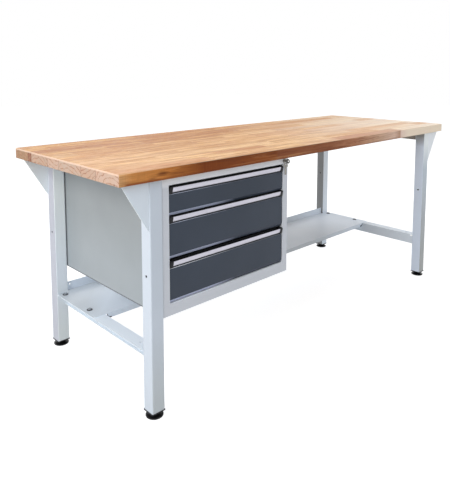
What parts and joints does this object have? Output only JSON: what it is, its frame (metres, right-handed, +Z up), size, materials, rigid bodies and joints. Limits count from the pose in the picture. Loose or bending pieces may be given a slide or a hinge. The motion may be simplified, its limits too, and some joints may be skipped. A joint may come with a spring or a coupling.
{
  "type": "jewelers bench",
  "caption": "Workbench with a laminated beech top on painted steel end frames, a hanging lockable drawer cabinet, a rear steel shelf and levelling feet.",
  "frame": {"origin": "on the floor below the middle of the worktop", "axes": "+X along the bench to the right as seen from the front, away from the cabinet; -Y towards the person at the bench; +Z up"},
  "size_m": [2.1, 0.749, 0.84],
  "materials": {
    "beech": "oiled",
    "frame_paint": "satin powder coat",
    "cabinet_paint": "satin powder coat",
    "front_paint": "satin powder coat",
    "anodised": "satin anodised",
    "zinc": "zinc plated",
    "black_plastic": "matte",
    "pad_plastic": "matte",
    "chrome": "nickel plated"
  },
  "bodies": {
    "bench": {"worktop": "beech", "worktop_screws": "zinc", "leg_front_left": "frame_paint", "leg_rear_left": "frame_paint", "leg_front_right": "frame_paint", "leg_rear_right": "frame_paint", "top_rail_left": "frame_paint", "lower_rail_left": "frame_paint", "gussets_left": "frame_paint", "top_rail_right": "frame_paint", "lower_rail_right": "frame_paint", "gussets_right": "frame_paint", "leg_end_caps": "black_plastic", "shelf": "frame_paint", "shelf_bolts": "zinc", "cabinet_side_left": "cabinet_paint", "cabinet_side_right": "cabinet_paint", "cabinet_back": "cabinet_paint", "cabinet_top": "cabinet_paint", "cabinet_bottom": "cabinet_paint", "stile_left": "cabinet_paint", "stile_right": "cabinet_paint", "front_rail_top": "cabinet_paint", "front_rail_bottom": "cabinet_paint", "slide_uprights": "cabinet_paint", "fixed_rails": "zinc", "lock_housing": "chrome", "bar_guides": "zinc"},
    "drawer_top": {"drawer_tray_top": "cabinet_paint", "drawer_front_top": "front_paint", "handle_strip_top": "anodised", "handle_ends_top": "black_plastic", "drawer_rails_top": "zinc"},
    "slide_top": {"middle_rails_top": "zinc"},
    "drawer_middle": {"drawer_tray_middle": "cabinet_paint", "drawer_front_middle": "front_paint", "handle_strip_middle": "anodised", "handle_ends_middle": "black_plastic", "drawer_rails_middle": "zinc"},
    "slide_middle": {"middle_rails_middle": "zinc"},
    "drawer_bottom": {"drawer_tray_bottom": "cabinet_paint", "drawer_front_bottom": "front_paint", "handle_strip_bottom": "anodised", "handle_ends_bottom": "black_plastic", "drawer_rails_bottom": "zinc"},
    "slide_bottom": {"middle_rails_bottom": "zinc"},
    "lock_plug": {"lock_barrel": "chrome", "lock_cam": "zinc", "key": "chrome"},
    "bar": {"locking_bar": "zinc"},
    "hanging_keys": {"key_ring": "chrome", "spare_key": "chrome"},
    "foot_front_left": {"foot_pad_front_left": "pad_plastic", "foot_stud_front_left": "zinc"},
    "foot_rear_left": {"foot_pad_rear_left": "pad_plastic", "foot_stud_rear_left": "zinc"},
    "foot_front_right": {"foot_pad_front_right": "pad_plastic", "foot_stud_front_right": "zinc"},
    "foot_rear_right": {"foot_pad_rear_right": "pad_plastic", "foot_stud_rear_right": "zinc"}
  },
  "joints": [
    {"name": "drawer_top_slide", "type": "slide", "parent": "bench", "child": "drawer_top", "axis": [0, -1, 0], "range_m": [0, 0.5]},
    {"name": "slide_top_extension", "type": "slide", "parent": "bench", "child": "slide_top", "axis": [0, -1, 0], "range_m": [0, 0.25]},
    {"name": "drawer_middle_slide", "type": "slide", "parent": "bench", "child": "drawer_middle", "axis": [0, -1, 0], "range_m": [0, 0.5]},
    {"name": "slide_middle_extension", "type": "slide", "parent": "bench", "child": "slide_middle", "axis": [0, -1, 0], "range_m": [0, 0.25]},
    {"name": "drawer_bottom_slide", "type": "slide", "parent": "bench", "child": "drawer_bottom", "axis": [0, -1, 0], "range_m": [0, 0.5]},
    {"name": "slide_bottom_extension", "type": "slide", "parent": "bench", "child": "slide_bottom", "axis": [0, -1, 0], "range_m": [0, 0.25]},
    {"name": "lock_turn", "type": "hinge", "parent": "bench", "child": "lock_plug", "pos_m": [-0.278, -0.352, 0.7875], "axis": [0, 1, 0], "range_deg": [0, 90]},
    {"name": "bar_drop", "type": "slide", "parent": "bench", "child": "bar", "axis": [0, 0, -1], "range_m": [0, 0.009]},
    {"name": "spare_key_swing", "type": "hinge", "parent": "bench", "child": "hanging_keys", "pos_m": [-0.278, -0.352, 0.7875], "axis": [0, -1, 0], "range_deg": [-4, 30]},
    {"name": "foot_front_left_height", "type": "slide", "parent": "bench", "child": "foot_front_left", "axis": [0, 0, -1], "range_m": [0, 0.025]},
    {"name": "foot_rear_left_height", "type": "slide", "parent": "bench", "child": "foot_rear_left", "axis": [0, 0, -1], "range_m": [0, 0.025]},
    {"name": "foot_front_right_height", "type": "slide", "parent": "bench", "child": "foot_front_right", "axis": [0, 0, -1], "range_m": [0, 0.025]},
    {"name": "foot_rear_right_height", "type": "slide", "parent": "bench", "child": "foot_rear_right", "axis": [0, 0, -1], "range_m": [0, 0.025]}
  ],
  "couplings": [
    {"joint": "slide_top_extension", "follows": "drawer_top_slide", "ratio": 0.5},
    {"joint": "slide_middle_extension", "follows": "drawer_middle_slide", "ratio": 0.5},
    {"joint": "slide_bottom_extension", "follows": "drawer_bottom_slide", "ratio": 0.5},
    {"joint": "lock_turn", "follows": "bar_drop", "rad_per_m": 174.53}
  ]
}
